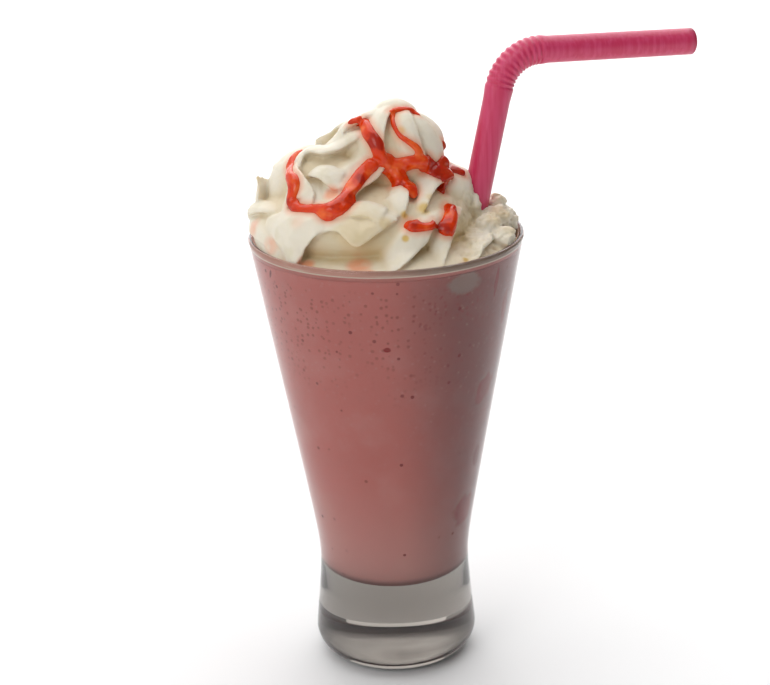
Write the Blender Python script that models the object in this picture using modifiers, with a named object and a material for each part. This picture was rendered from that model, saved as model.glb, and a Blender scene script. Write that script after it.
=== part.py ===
"""A milkshake in its heavy-based glass, heaped with piped cream, syrup and a bent drinking straw.

Metres, +Z up. The origin is on the table, on the glass's own axis, under its foot.
The front of the drink is -Y. Heights on the cream are counted from the glass's lip.
"""
import math

import bmesh
import bpy
from mathutils import Matrix, Vector
from mathutils.bvhtree import BVHTree

MM = 0.001
GAP = 0.3 * MM                      # left between pieces that touch

# Glass: a turned cone over a waist and a flared solid foot
GLASS_HEIGHT = 136.0 * MM
RIM_RADIUS = 41.0 * MM
WAIST_HEIGHT = 33.5 * MM
WAIST_RADIUS = 22.1 * MM
FOOT_RADIUS = 24.9 * MM
HEEL_ROUND = 8.3 * MM
WAIST_BLEND = 2.1 * MM
LIP_WALL = 1.6 * MM
WAIST_WALL = 1.9 * MM
INNER_FLOOR = 27.5 * MM
FLOOR_ROUND = 9.0 * MM
GLASS_SIDES = 48

# Drink: fills the glass to just under its lip
DRINK_BELOW_LIP = 3.3 * MM

# Straw: an 8 mm drinking straw with a corrugated bend
STRAW_RADIUS = 4.0 * MM
STRAW_WALL = 0.45 * MM
STRAW_FOOT = Vector((3.0, -3.0, 34.0)) * MM
STRAW_ELBOW = Vector((36.4, 4.4, 188.0)) * MM
STRAW_TIP = Vector((93.5, 28.0, 185.0)) * MM
BEND_RADIUS = 12.5 * MM
BEND_RIDGES = 11
RIDGE_HEIGHT = 0.35 * MM
STRAW_SIDES = 16

# Cream: mounds give the heap's outline, and piped folds hang over each other on a smaller core
OUTLINE_VOXEL = 1.2 * MM
CREAM_VOXEL = 0.9 * MM
CREAM_KEPT = 0.10                   # share of the fine skin's faces that the solid keeps
HEAP_MOUNDS = (
    # centre x, y, height over the lip; half-sizes x, y, z, all in millimetres
    ((0, 0, -3), (41.5, 41.5, 9.5)),
    ((-6, 0, 5), (35, 34, 17)),
    ((-15, -2, 15), (18, 18, 13.5)),
    ((2.5, 0, 20), (16, 16, 20)),
    ((3.5, 0, 33), (8, 8, 8.5)),
    ((31, 8, 0), (9, 12, 6.5)),
)
HEAP_LEAN = 0.08                    # sideways shift of the heap's axis for each unit of height
CORE_INSET = 3.0                    # how far the core under the folds lies inside the outline
FOLD_STEPS = 5
FOLD_SECTION = (
    # a fold cut across: distance uphill from its edge in widths, height over the edge in depths
    (0.00, 0.00), (0.10, 0.10), (0.30, 0.10), (0.55, -0.10), (0.80, -0.50), (1.00, -1.05),
    (0.70, -1.50), (0.38, -1.20), (0.20, -0.80), (0.05, -0.32),
)
FOLDS = (
    # edge stations (azimuth, height over the lip[, stand-off]) from foot to top; width uphill; depth
    # the lowest coil, from the left round the front to the right
    (((-152, -1), (-155, 4), (-156, 9), (-160, 14)), 17, 2.5),
    (((-172, 11), (-178, 14, 2), (178, 17, 6)), 6, 3.0),
    (((-128, -2), (-114, -3), (-100, -2), (-90, 1)), 9, 3.0),
    (((-134, -3), (-131, 0), (-127, 5), (-122, 9), (-116, 10)), 15, 4.5),
    (((-127, 6), (-121, 9), (-114, 9), (-105, 5), (-97, 8), (-89, 11), (-77, 15)), 9, 5.0),
    (((-91, -1), (-83, 1), (-71, 4), (-63, 8), (-42, 12)), 10, 5.0),
    (((-66, 0), (-53, 4), (-42, 9), (-29, 11)), 6, 4.0),
    (((-51, -1), (-42, 1), (-30, 2), (-11, 3), (20, 6)), 6.5, 4.5),
    # the middle coil
    (((-138, 14), (-118, 13), (-103, 13), (-93, 11), (-81, 15)), 8, 3.5),
    (((-131, 14), (-114, 14), (-110, 19), (-99, 22), (-93, 25)), 8, 4.5),
    (((-149, 22), (-139, 21), (-127, 18), (-119, 19), (-112, 24)), 9, 3.0),
    (((-134, 14), (-138, 18), (-147, 22), (-165, 25)), 9, 3.0),
    (((-80, 13), (-74, 17), (-79, 21)), 8, 4.0),
    (((-69, 12), (-52, 16), (-31, 17), (7, 16)), 6, 4.0),
    (((-155, 23), (-161, 27), (-149, 27), (-140, 30), (-128, 34)), 7, 4.5),
    # the top coil
    (((-145, 29), (-158, 32), (-144, 36), (-112, 39)), 7, 3.5),
    (((-94, 27), (-100, 32), (-98, 35), (-69, 39)), 8, 4.0),
    (((-65, 24), (-73, 31), (-63, 38)), 6, 3.0),
    (((-40, 22), (-35, 31), (-38, 38)), 7, 3.5),
)
BACK_COILS = (
    # first azimuth, spacing, count; foot and top heights; azimuth swept; width; depth
    (0, 27, 7, (-1, 12), 44, 9, 4.5),
    (-5, 30, 6, (11, 23), 48, 8, 4.5),
    (-5, 38, 5, (22, 37), 56, 7, 4.0),
)


# Syrup: thick strands lying on the cream
STRAND_STEPS = 3
STRAND_SIDES = 8
STRANDS = (
    # stations (azimuth, height over the lip) along the strand; radius at its start, middle and end
    (((175, 26), (-177, 23), (-169, 19), (-158, 17), (-156, 14), (-145, 13), (-133, 13), (-121, 13),
      (-115, 15), (-112, 18), (-106, 22), (-96, 25)), (1.2, 1.7, 1.5)),
    (((-160, 32), (-166, 34), (-150, 35), (-138, 33), (-118, 30), (-104, 27), (-88, 23), (-75, 19),
      (-69, 16), (-71, 13)), (1.3, 1.5, 1.4)),
    (((-90, 22), (-72, 23), (-54, 24), (-35, 21), (-18, 20), (0, 19), (15, 18)), (1.3, 1.5, 1.6)),
    (((-13, 20), (-22, 18), (-15, 15), (-28, 13)), (1.9, 1.8, 1.0)),
    (((15, 35), (-21, 37), (-91, 38), (-95, 37), (-86, 33), (-77, 31), (-61, 28), (-53, 25)),
     (0.9, 0.8, 1.0)),
    (((-79, 10), (-74, 9), (-66, 10), (-54, 9)), (1.5, 1.1, 1.3)),
    (((-39, 12), (-46, 10), (-53, 8), (-56, 6)), (1.3, 1.6, 1.4)),
)


def clear_scene():
    for obj in list(bpy.data.objects):
        bpy.data.objects.remove(obj, do_unlink=True)


def new_collection(name):
    collection = bpy.data.collections.new(name)
    bpy.context.scene.collection.children.link(collection)
    return collection


def principled(name, colour, roughness, transmission=0.0):
    material = bpy.data.materials.new(name)
    material.use_nodes = True
    shader = material.node_tree.nodes["Principled BSDF"]
    shader.inputs["Base Color"].default_value = (*colour, 1.0)
    shader.inputs["Roughness"].default_value = roughness
    shader.inputs["Metallic"].default_value = 0.0
    shader.inputs["Transmission Weight"].default_value = transmission
    return material


def mesh_object(name, bm, collection, material=None, smooth=True):
    bmesh.ops.recalc_face_normals(bm, faces=bm.faces)
    mesh = bpy.data.meshes.new(name)
    bm.to_mesh(mesh)
    bm.free()
    if material:
        mesh.materials.append(material)
    if smooth:
        mesh.shade_smooth()
    obj = bpy.data.objects.new(name, mesh)
    collection.objects.link(obj)
    return obj


def hide_helper(obj):
    obj.hide_render = True
    obj.display_type = "WIRE"


def turned(name, profile, collection, material=None, sides=GLASS_SIDES):
    """A solid of revolution; the profile's ends lie on the axis and its outer side runs downwards."""
    bm = bmesh.new()
    verts = [bm.verts.new((radius, 0.0, height)) for radius, height in profile]
    for a, b in zip(verts, verts[1:]):
        bm.edges.new((a, b))
    mesh = bpy.data.meshes.new(name)
    bm.to_mesh(mesh)
    bm.free()
    if material:
        mesh.materials.append(material)
    obj = bpy.data.objects.new(name, mesh)
    collection.objects.link(obj)
    screw = obj.modifiers.new("Turn", "SCREW")
    screw.steps = sides
    screw.render_steps = sides
    screw.use_merge_vertices = True
    screw.merge_threshold = 0.00001
    return obj


def boolean(obj, other, operation):
    modifier = obj.modifiers.new(operation.title(), "BOOLEAN")
    modifier.operation = operation
    modifier.object = other


def arc(centre, radius, start, end, steps):
    """Points of a circular arc in the profile's plane, angles in degrees."""
    points = []
    for i in range(steps + 1):
        angle = math.radians(start + (end - start) * i / steps)
        points.append((centre[0] + radius * math.cos(angle), centre[1] + radius * math.sin(angle)))
    return points


# Glass and drink

def glass_outer(z):
    """Outer radius: the cone and the flared foot, blended where they meet at the waist."""
    cone = WAIST_RADIUS + (RIM_RADIUS - WAIST_RADIUS) * (z - WAIST_HEIGHT) / (GLASS_HEIGHT - WAIST_HEIGHT)
    foot = WAIST_RADIUS + (FOOT_RADIUS - WAIST_RADIUS) * (WAIST_HEIGHT - z) / (WAIST_HEIGHT - HEEL_ROUND)
    return (cone + foot + math.hypot(cone - foot, WAIST_BLEND)) / 2


def glass_inner(z):
    """Inner radius of the bowl: the outer wall less a thickness that grows downwards."""
    wall = WAIST_WALL + (LIP_WALL - WAIST_WALL) * (z - WAIST_HEIGHT) / (GLASS_HEIGHT - WAIST_HEIGHT)
    cone = WAIST_RADIUS + (RIM_RADIUS - WAIST_RADIUS) * (z - WAIST_HEIGHT) / (GLASS_HEIGHT - WAIST_HEIGHT)
    return cone - wall


def bowl_profile(clearance, top):
    """The bowl's inner surface from the axis outwards and up to a height, less a clearance."""
    floor = INNER_FLOOR + clearance
    round_radius = FLOOR_ROUND - clearance
    side = glass_inner(floor + round_radius) - clearance
    points = [(0.0, floor)]
    points += arc((side - round_radius, floor + round_radius), round_radius, -90, -6, 6)
    for share in (0.35, 0.7, 1.0):
        z = floor + round_radius + share * (top - floor - round_radius)
        points.append((glass_inner(z) - clearance, z))
    return points


def glass(collection):
    lip = LIP_WALL / 2
    inside = bowl_profile(0.0, GLASS_HEIGHT - lip)
    crown = arc((RIM_RADIUS - lip, GLASS_HEIGHT - lip), lip, 150, 0, 4)
    outside = []
    for share in (0.3, 0.62, 0.85):
        z = GLASS_HEIGHT + share * (WAIST_HEIGHT - GLASS_HEIGHT)
        outside.append((glass_outer(z), z))
    for step in range(7):
        z = WAIST_HEIGHT + (3 - step) * 1.5 * WAIST_BLEND
        outside.append((glass_outer(z), z))
    foot = glass_outer(HEEL_ROUND)
    heel = arc((foot - HEEL_ROUND, HEEL_ROUND), HEEL_ROUND, 0, -90, 6)
    profile = inside + crown + outside + heel + [(0.0, 0.0)]
    material = principled("Clear soda-lime glass", (0.9, 0.92, 0.92), 0.03, transmission=1.0)
    return turned("glass", profile, collection, material)


def drink(collection, straw_sleeve):
    level = GLASS_HEIGHT - DRINK_BELOW_LIP
    profile = bowl_profile(GAP, level)[::-1]
    material = principled("Pink milkshake", (0.40, 0.13, 0.115), 0.35)
    obj = turned("milkshake", [(0.0, level)] + profile, collection, material)
    boolean(obj, straw_sleeve, "DIFFERENCE")
    return obj


# Straw

def straw_route():
    """Centre-line stations of the straw: (point, share of the bend from 0 to 1, or None on a leg)."""
    down = (STRAW_FOOT - STRAW_ELBOW).normalized()
    out = (STRAW_TIP - STRAW_ELBOW).normalized()
    half_turn = (math.pi - down.angle(out)) / 2
    reach = BEND_RADIUS * math.tan(half_turn)
    centre = STRAW_ELBOW + (down + out).normalized() * (BEND_RADIUS / math.cos(half_turn))
    start = STRAW_ELBOW + down * reach - centre
    axis = start.cross(STRAW_ELBOW + out * reach - centre).normalized()
    stations = [(STRAW_FOOT, None)]
    steps = 2 * BEND_RIDGES
    for i in range(steps + 1):
        turn = Matrix.Rotation(2 * half_turn * i / steps, 3, axis)
        stations.append((centre + turn @ start, i / steps))
    stations.append((STRAW_TIP, None))
    return stations


def tube_rings(bm, route, radii, sides, first_side=Vector((0, 1, 0))):
    """Rings of vertices round a route, carried along it without twisting."""
    rings = []
    side = first_side
    for i, point in enumerate(route):
        ahead = route[min(i + 1, len(route) - 1)] - route[max(i - 1, 0)]
        ahead.normalize()
        side = (side - ahead * side.dot(ahead)).normalized()
        other = ahead.cross(side)
        ring = []
        for k in range(sides):
            angle = 2 * math.pi * k / sides
            offset = side * math.cos(angle) + other * math.sin(angle)
            ring.append(bm.verts.new(point + offset * radii[i]))
        rings.append(ring)
    for ring, following in zip(rings, rings[1:]):
        for k in range(sides):
            n = (k + 1) % sides
            bm.faces.new((ring[k], ring[n], following[n], following[k]))
    return rings


def straw(collection):
    stations = straw_route()
    route = [point for point, _ in stations]
    radii = []
    for i, (_, share) in enumerate(stations):
        on_ridge = share is not None and i % 2 == 0
        radii.append(STRAW_RADIUS + (RIDGE_HEIGHT if on_ridge else 0.0))
    bm = bmesh.new()
    tube_rings(bm, route, radii, STRAW_SIDES)
    material = principled("Pink polypropylene", (0.58, 0.06, 0.16), 0.35)
    obj = mesh_object("straw", bm, collection, material)
    wall = obj.modifiers.new("Wall", "SOLIDIFY")
    wall.thickness = STRAW_WALL
    wall.offset = -1.0
    return obj


def straw_sleeve(cutters):
    """A closed rod a gap wider than the straw's lower leg, which the cream and the drink are cut round."""
    up = (STRAW_ELBOW - STRAW_FOOT).normalized()
    bm = bmesh.new()
    rings = tube_rings(bm, [STRAW_FOOT - up * GAP, STRAW_ELBOW], [STRAW_RADIUS + GAP] * 2, STRAW_SIDES)
    bm.faces.new(rings[0][::-1])
    bm.faces.new(rings[1])
    obj = mesh_object("straw_sleeve", bm, cutters)
    hide_helper(obj)
    return obj


# Cream

def heap_point(azimuth, height, reach):
    """A point at an azimuth in degrees (0 at +X, -90 in front), a height over the lip and a reach from
    the heap's leaning axis, in millimetres."""
    angle = math.radians(azimuth)
    return Vector((
        (HEAP_LEAN * max(height, 0.0) + reach * math.cos(angle)) * MM,
        reach * math.sin(angle) * MM,
        GLASS_HEIGHT + height * MM,
    ))


def mounds(inset):
    """The heap's mounds as loose overlapping shells, each made smaller all round by an inset."""
    bm = bmesh.new()
    for centre, half_sizes in HEAP_MOUNDS:
        place = Matrix.Translation(heap_point(0, 0, 0) + Vector(centre) * MM)
        shape = Matrix.Diagonal((*[(size - inset) * MM for size in half_sizes], 1.0))
        bmesh.ops.create_uvsphere(bm, u_segments=48, v_segments=24, radius=1.0, matrix=place @ shape)
    return bm


def laid_on(surface, azimuth, height):
    """Where a level line from outside to the heap's axis meets the surface, and its normal there."""
    outside = heap_point(azimuth, height, 90)
    inside = heap_point(azimuth, height, 0)
    point, normal, _, _ = surface.ray_cast(outside, inside - outside)
    if point is None:
        point, normal, _, _ = surface.find_nearest(inside)
    return point, normal


def smooth_route(points, steps):
    """Points along a Catmull-Rom curve through the given ones."""
    ends = [2 * points[0] - points[1]] + points + [2 * points[-1] - points[-2]]
    route = []
    for a, b, c, d in zip(ends, ends[1:], ends[2:], ends[3:]):
        for i in range(steps):
            t = i / steps
            route.append(0.5 * (2 * b + (c - a) * t + (2 * a - 5 * b + 4 * c - d) * t * t
                                + (3 * b - a - 3 * c + d) * t ** 3))
    route.append(points[-1])
    return route


def add_fold(bm, surface, stations, width, depth):
    """A piped fold: its section swept along its hanging edge and wrapped over the heap's outline,
    sinking into the heap at both ends."""
    laid = [laid_on(surface, station[0], station[1]) for station in stations]
    route = smooth_route([point for point, _ in laid], FOLD_STEPS)
    facing = smooth_route([normal for _, normal in laid], FOLD_STEPS)
    stand_off = smooth_route([sum(station[2:]) for station in stations], FOLD_STEPS)
    rings = []
    last = len(route) - 1
    for i, point in enumerate(route):
        along = (route[min(i + 1, last)] - route[max(i - 1, 0)]).normalized()
        uphill = facing[i].cross(along).normalized()
        full = math.sin(math.pi * (0.04 + 0.92 * i / last)) ** 0.5
        ring = []
        for across, above in FOLD_SECTION:
            on_outline, out, _, _ = surface.find_nearest(point + uphill * (across * width * full * MM))
            rise = (above * full - (1 - full)) * depth + stand_off[i] * (1 - across)
            ring.append(bm.verts.new(on_outline + out * (rise * MM)))
        rings.append(ring)
    for ring, following in zip(rings, rings[1:]):
        for k in range(len(ring)):
            n = (k + 1) % len(ring)
            bm.faces.new((ring[k], ring[n], following[n], following[k]))
    bm.faces.new(rings[0][::-1])
    bm.faces.new(rings[-1])


def back_folds():
    """The folds of the far side, evenly spaced along each coil and swept up like those in front."""
    folds = []
    for first, spacing, count, (foot, top), sweep, width, depth in BACK_COILS:
        for i in range(count):
            start = first + spacing * i
            stations = []
            for share in (0.0, 0.3, 0.65, 1.0):
                wander = 2.0 * math.sin(2.1 * start + 5.0 * share)
                stations.append((start + sweep * share ** 1.2 + wander, foot + (top - foot) * share))
            folds.append((stations, width, depth))
    return folds


def melted(bm, collection, voxel, smoothing):
    """The evaluated mesh of overlapping shells run together into one skin."""
    obj = mesh_object("melting", bm, collection)
    melt = obj.modifiers.new("Melt", "REMESH")
    melt.mode = "VOXEL"
    melt.voxel_size = voxel
    soften = obj.modifiers.new("Soften", "SMOOTH")
    soften.iterations = smoothing
    mesh = bpy.data.meshes.new_from_object(obj.evaluated_get(bpy.context.evaluated_depsgraph_get()))
    bpy.data.objects.remove(obj, do_unlink=True)
    return mesh


def heap_mesh(collection):
    """The whole piped heap, its folds melted together."""
    outline = bmesh.new()
    outline.from_mesh(melted(mounds(0.0), collection, OUTLINE_VOXEL, 12))
    surface = BVHTree.FromBMesh(outline)
    outline.free()
    bm = mounds(CORE_INSET)
    for stations, width, depth in list(FOLDS) + back_folds():
        add_fold(bm, surface, stations, width, depth)
    return melted(bm, collection, CREAM_VOXEL, 2)


def add_strand(surface, stations, radii, collection):
    """A strand of syrup: a round rope lying on the cream, with rounded ends."""
    laid = [laid_on(surface, azimuth, height) for azimuth, height in stations]
    route = smooth_route([point for point, _ in laid], STRAND_STEPS)
    facing = smooth_route([normal for _, normal in laid], STRAND_STEPS)
    last = len(route) - 1
    sizes = []
    for i in range(last + 1):
        share = 2 * i / last
        start, middle, end = radii
        plain = start + (middle - start) * share if share < 1 else middle + (end - middle) * (share - 1)
        sizes.append(plain * math.sin(math.pi * (0.08 + 0.84 * i / last)) ** 0.35 * MM)
    centres = [point + out.normalized() * (size * 0.35) for point, out, size in zip(route, facing, sizes)]
    bm = bmesh.new()
    rings = tube_rings(bm, centres, sizes, STRAND_SIDES)
    bm.faces.new(rings[0][::-1])
    bm.faces.new(rings[-1])
    mesh_object("strand", bm, collection)


def cream_room(cutters):
    """The room that the cream may fill: the bowl above the drink, and everything above the lip."""
    level = GLASS_HEIGHT - DRINK_BELOW_LIP + GAP
    above = GLASS_HEIGHT + GAP
    ceiling = GLASS_HEIGHT + 60 * MM
    reach = 60 * MM
    profile = [
        (0.0, ceiling), (reach, ceiling), (reach, above), (glass_inner(above) - GAP, above),
        (glass_inner(level) - GAP, level), (0.0, level),
    ]
    obj = turned("cream_room", profile, cutters)
    hide_helper(obj)
    return obj


def whipped_cream(collection, cutters, sleeve):
    mesh = heap_mesh(cutters)
    mesh.materials.append(principled("Whipped cream", (0.87, 0.84, 0.74), 0.55))
    obj = bpy.data.objects.new("whipped_cream", mesh)
    collection.objects.link(obj)
    surface = BVHTree.FromObject(obj, bpy.context.evaluated_depsgraph_get())
    thin = obj.modifiers.new("Thin", "DECIMATE")
    thin.ratio = CREAM_KEPT
    strands = new_collection("syrup_strands")
    for stations, radii in STRANDS:
        add_strand(surface, stations, radii, strands)
    fuse = obj.modifiers.new("Fuse", "BOOLEAN")
    fuse.operation = "UNION"
    fuse.operand_type = "COLLECTION"
    fuse.collection = strands
    boolean(obj, cream_room(cutters), "INTERSECT")
    boolean(obj, sleeve, "DIFFERENCE")
    fused = bpy.data.meshes.new_from_object(obj.evaluated_get(bpy.context.evaluated_depsgraph_get()))
    obj.modifiers.clear()
    obj.data = fused
    for strand in list(strands.objects):
        bpy.data.objects.remove(strand, do_unlink=True)
    bpy.data.collections.remove(strands)
    return obj


def main():
    clear_scene()
    cutters = new_collection("cutters")
    parts = new_collection("milkshake_in_glass")
    sleeve = straw_sleeve(cutters)
    glass(parts)
    drink(parts, sleeve)
    straw(parts)
    whipped_cream(parts, cutters, sleeve)


main()
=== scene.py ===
"""The finished look of a milkshake in its heavy-based glass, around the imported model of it."""
import math

import bmesh
import bpy
import numpy as np
from mathutils import Matrix, Vector
from mathutils.bvhtree import BVHTree
from mathutils.noise import noise


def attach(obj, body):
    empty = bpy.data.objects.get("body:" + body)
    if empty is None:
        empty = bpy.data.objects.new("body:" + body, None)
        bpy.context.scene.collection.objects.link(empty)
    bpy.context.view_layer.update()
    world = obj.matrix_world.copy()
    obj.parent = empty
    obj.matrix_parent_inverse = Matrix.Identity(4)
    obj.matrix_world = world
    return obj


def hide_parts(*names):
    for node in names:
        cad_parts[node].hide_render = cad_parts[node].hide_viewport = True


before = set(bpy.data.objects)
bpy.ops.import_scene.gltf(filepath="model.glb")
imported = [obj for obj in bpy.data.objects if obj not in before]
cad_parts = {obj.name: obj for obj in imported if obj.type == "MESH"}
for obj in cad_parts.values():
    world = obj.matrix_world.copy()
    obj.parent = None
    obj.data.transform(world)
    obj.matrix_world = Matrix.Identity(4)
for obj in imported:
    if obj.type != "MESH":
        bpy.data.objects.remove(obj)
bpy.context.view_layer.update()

MM = 0.001


# Camera. A short telephoto a little above the rim, tipped down at the drink and turned slightly
# about its own line of sight.
CAMERA_BACK = 0.5805
CAMERA_HEIGHT = 0.3038
CAMERA_DIP = 19.265
CAMERA_HEADING = 0.118
CAMERA_TILT = -1.547
CAMERA_LENS = 94.9

camera_data = bpy.data.cameras.new("camera")
camera_data.lens = CAMERA_LENS
camera_data.sensor_width = 36.0
camera_data.clip_start = 0.01
camera = bpy.data.objects.new("camera", camera_data)
camera.matrix_world = (
    Matrix.Translation((0.0, -CAMERA_BACK, CAMERA_HEIGHT))
    @ Matrix.Rotation(math.radians(CAMERA_HEADING), 4, "Z")
    @ Matrix.Rotation(math.radians(90.0 - CAMERA_DIP), 4, "X")
    @ Matrix.Rotation(math.radians(CAMERA_TILT), 4, "Z")
)
bpy.context.scene.collection.objects.link(camera)
bpy.context.scene.camera = camera


# Glass. A pressed tumbler of clear soda-lime glass: a cone over a waist and a flared solid foot.
# It is turned here from the same sizes as the frame's, with a fine round and a fire-polished lip.
GLASS_HEIGHT = 136.0 * MM
RIM_RADIUS = 41.0 * MM
WAIST_HEIGHT = 33.5 * MM
WAIST_RADIUS = 22.1 * MM
FOOT_RADIUS = 24.9 * MM
HEEL_ROUND = 8.3 * MM
WAIST_BLEND = 2.1 * MM
LIP_WALL = 1.6 * MM
WAIST_WALL = 1.9 * MM
INNER_FLOOR = 27.5 * MM
FLOOR_ROUND = 9.0 * MM
PUNT_RISE = 0.8 * MM                # the hollow under the foot, which leaves a ring to stand on
PUNT_SLOPE = 2.0 * MM
TURNED_SIDES = 192
ROUND_STEPS = 24
LIP_STEPS = 16
BOWL_STEPS = 60
OUTSIDE_STEPS = 81


def linear(hex_colour):
    """An sRGB hex colour as the linear red, green, blue and alpha that Blender's sockets take."""
    channels = [int(hex_colour[i:i + 2], 16) / 255 for i in (1, 3, 5)]
    return (*[c / 12.92 if c <= 0.04045 else ((c + 0.055) / 1.055) ** 2.4 for c in channels], 1.0)


def set_sockets(tree, made, sockets):
    """Gives a node's inputs a value, another node's output, or another node, of which the first output
    in use is meant."""
    for name, value in sockets.items():
        if isinstance(value, bpy.types.Node):
            value = next(output for output in value.outputs if output.enabled)
        if isinstance(value, bpy.types.NodeSocket):
            tree.links.new(value, made.inputs[name])
        else:
            made.inputs[name].default_value = value


def node(tree, kind, sockets=None, **settings):
    """Adds a shader node with its settings and links."""
    made = tree.nodes.new(kind)
    for name, value in settings.items():
        setattr(made, name, value)
    set_sockets(tree, made, sockets or {})
    return made


def new_material(name):
    """A new material with its node tree and its Principled shader."""
    material = bpy.data.materials.new(name)
    material.use_nodes = True
    return material, material.node_tree, material.node_tree.nodes["Principled BSDF"]


def add_piece(name, mesh, material, cad_node):
    """Links a piece to the scene, on the body that the drink is, in place of a node of the frame."""
    mesh.materials.clear()
    mesh.materials.append(material)
    mesh.shade_smooth()
    piece = bpy.data.objects.new(name, mesh)
    bpy.context.scene.collection.objects.link(piece)
    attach(piece, "root")
    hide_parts(cad_node)


def arc(centre, radius, start, end, steps):
    """Points of a circular arc in the profile's plane, angles in degrees."""
    points = []
    for i in range(steps + 1):
        angle = math.radians(start + (end - start) * i / steps)
        points.append((centre[0] + radius * math.cos(angle), centre[1] + radius * math.sin(angle)))
    return points


def mesh_from(bm, name):
    """Turns working geometry into a mesh, its faces outwards."""
    bmesh.ops.recalc_face_normals(bm, faces=bm.faces)
    mesh = bpy.data.meshes.new(name)
    bm.to_mesh(mesh)
    bm.free()
    return mesh


def turned_mesh(name, profile):
    """A closed solid of revolution from a profile that starts and ends on the axis."""
    bm = bmesh.new()
    rings = []
    for radius, height in profile:
        if radius == 0.0:
            rings.append([bm.verts.new((0.0, 0.0, height))])
            continue
        ring = []
        for k in range(TURNED_SIDES):
            angle = 2 * math.pi * k / TURNED_SIDES
            ring.append(bm.verts.new((radius * math.cos(angle), radius * math.sin(angle), height)))
        rings.append(ring)
    for ring, following in zip(rings, rings[1:]):
        for k in range(TURNED_SIDES):
            n = (k + 1) % TURNED_SIDES
            corners = [ring[k % len(ring)], ring[n % len(ring)]]
            corners += [following[n % len(following)], following[k % len(following)]]
            bm.faces.new(list(dict.fromkeys(corners)))
    return mesh_from(bm, name)


def glass_cone(z):
    """Outer radius of the cone, which runs on below the waist for the blend."""
    return WAIST_RADIUS + (RIM_RADIUS - WAIST_RADIUS) * (z - WAIST_HEIGHT) / (GLASS_HEIGHT - WAIST_HEIGHT)


def glass_outer(z):
    """Outer radius: the cone and the flared foot, blended where they meet at the waist."""
    cone = glass_cone(z)
    foot = WAIST_RADIUS + (FOOT_RADIUS - WAIST_RADIUS) * (WAIST_HEIGHT - z) / (WAIST_HEIGHT - HEEL_ROUND)
    return (cone + foot + math.hypot(cone - foot, WAIST_BLEND)) / 2


def glass_inner(z):
    """Inner radius of the bowl: the cone less a wall that grows thicker downwards."""
    wall = WAIST_WALL + (LIP_WALL - WAIST_WALL) * (z - WAIST_HEIGHT) / (GLASS_HEIGHT - WAIST_HEIGHT)
    return glass_cone(z) - wall


def bowl_profile(into_wall, top, steps):
    """The bowl's inner surface from the axis out and up to a height, let into the wall."""
    floor = INNER_FLOOR - into_wall
    round_radius = FLOOR_ROUND + into_wall
    side = glass_inner(floor + round_radius) + into_wall
    points = [(0.0, floor)]
    points += arc((side - round_radius, floor + round_radius), round_radius, -90, -10, ROUND_STEPS)
    for i in range(1, steps + 1):
        z = floor + round_radius + (top - floor - round_radius) * i / steps
        points.append((glass_inner(z) + into_wall, z))
    return points


lip = LIP_WALL / 2
glass_profile = bowl_profile(0.0, GLASS_HEIGHT - lip, BOWL_STEPS)
glass_profile += arc((RIM_RADIUS - lip, GLASS_HEIGHT - lip), lip, 170, 0, LIP_STEPS)
for i in range(1, OUTSIDE_STEPS):
    z = GLASS_HEIGHT - lip + (HEEL_ROUND - GLASS_HEIGHT + lip) * i / OUTSIDE_STEPS
    glass_profile.append((glass_outer(z), z))
heel = glass_outer(HEEL_ROUND)
glass_profile += arc((heel - HEEL_ROUND, HEEL_ROUND), HEEL_ROUND, 0, -90, ROUND_STEPS)
glass_profile += [(heel - HEEL_ROUND - PUNT_SLOPE, PUNT_RISE), (0.0, 1.4 * PUNT_RISE)]

# Soda-lime glass: clear through the thin wall and grey through the thick foot, where its iron tint adds up.
# The fire-polished skin is faintly smudged by handling; the moulded underside has the fine matt grain of
# the mould, which blurs what it mirrors. Sizes of patterns are in millimetres from here on.
GLASS_CLEAR = "#f1f3f1"
GLASS_TINT = "#ccc7c3"
GLASS_TINT_DENSITY = 70.0
SMUDGE_SIZE = 16.7
MOULD_GRAIN = 6.25


def clear_glass(name, pattern_size, detail, smoothest, roughest):
    """Glass whose surface goes between two roughnesses in patches of one size."""
    material, tree, shader = new_material(name)
    where = node(tree, "ShaderNodeTexCoord").outputs["Object"]
    sockets = {"Vector": where, "Scale": 1000 / pattern_size, "Detail": detail}
    patches = node(tree, "ShaderNodeTexNoise", sockets)
    sockets = {"Value": patches, "To Min": smoothest, "To Max": roughest}
    set_sockets(tree, shader, {
        "Base Color": linear(GLASS_CLEAR),
        "Roughness": node(tree, "ShaderNodeMapRange", sockets),
        "IOR": 1.5,
        "Transmission Weight": 1.0,
    })
    sockets = {"Color": linear(GLASS_TINT), "Density": GLASS_TINT_DENSITY}
    tint = node(tree, "ShaderNodeVolumeAbsorption", sockets)
    set_sockets(tree, tree.nodes["Material Output"], {"Volume": tint})
    return material


glass_mesh = turned_mesh("glass_tumbler", glass_profile)
polished = clear_glass("Soda-lime glass, fire-polished", SMUDGE_SIZE, 3.0, 0.0, 0.05)
add_piece("glass_tumbler", glass_mesh, polished, "glass")
glass_mesh.materials.append(clear_glass("Soda-lime glass, moulded underside", MOULD_GRAIN, 2.0, 0.3, 0.65))
for face in glass_mesh.polygons:
    if face.center.z < 1.5 * PUNT_RISE and face.normal.z < -0.8:
        face.material_index = 1


# Drink. Blended ice cream, milk and red fruit, filled to just under the lip and wetting the wall.
# It reaches a hair into the glass, so that light meets the drink without an air gap.
DRINK_BELOW_LIP = 3.3 * MM
DRINK_INTO_WALL = 0.12 * MM
DRINK_CREEP = 0.4 * MM              # how far the drink climbs at the wall
drink_level = GLASS_HEIGHT - DRINK_BELOW_LIP
drink_profile = bowl_profile(DRINK_INTO_WALL, drink_level, 2 * BOWL_STEPS)
drink_profile += [
    (glass_inner(drink_level) * 0.96, drink_level - DRINK_CREEP),
    (0.0, drink_level - 1.25 * DRINK_CREEP),
]

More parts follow.
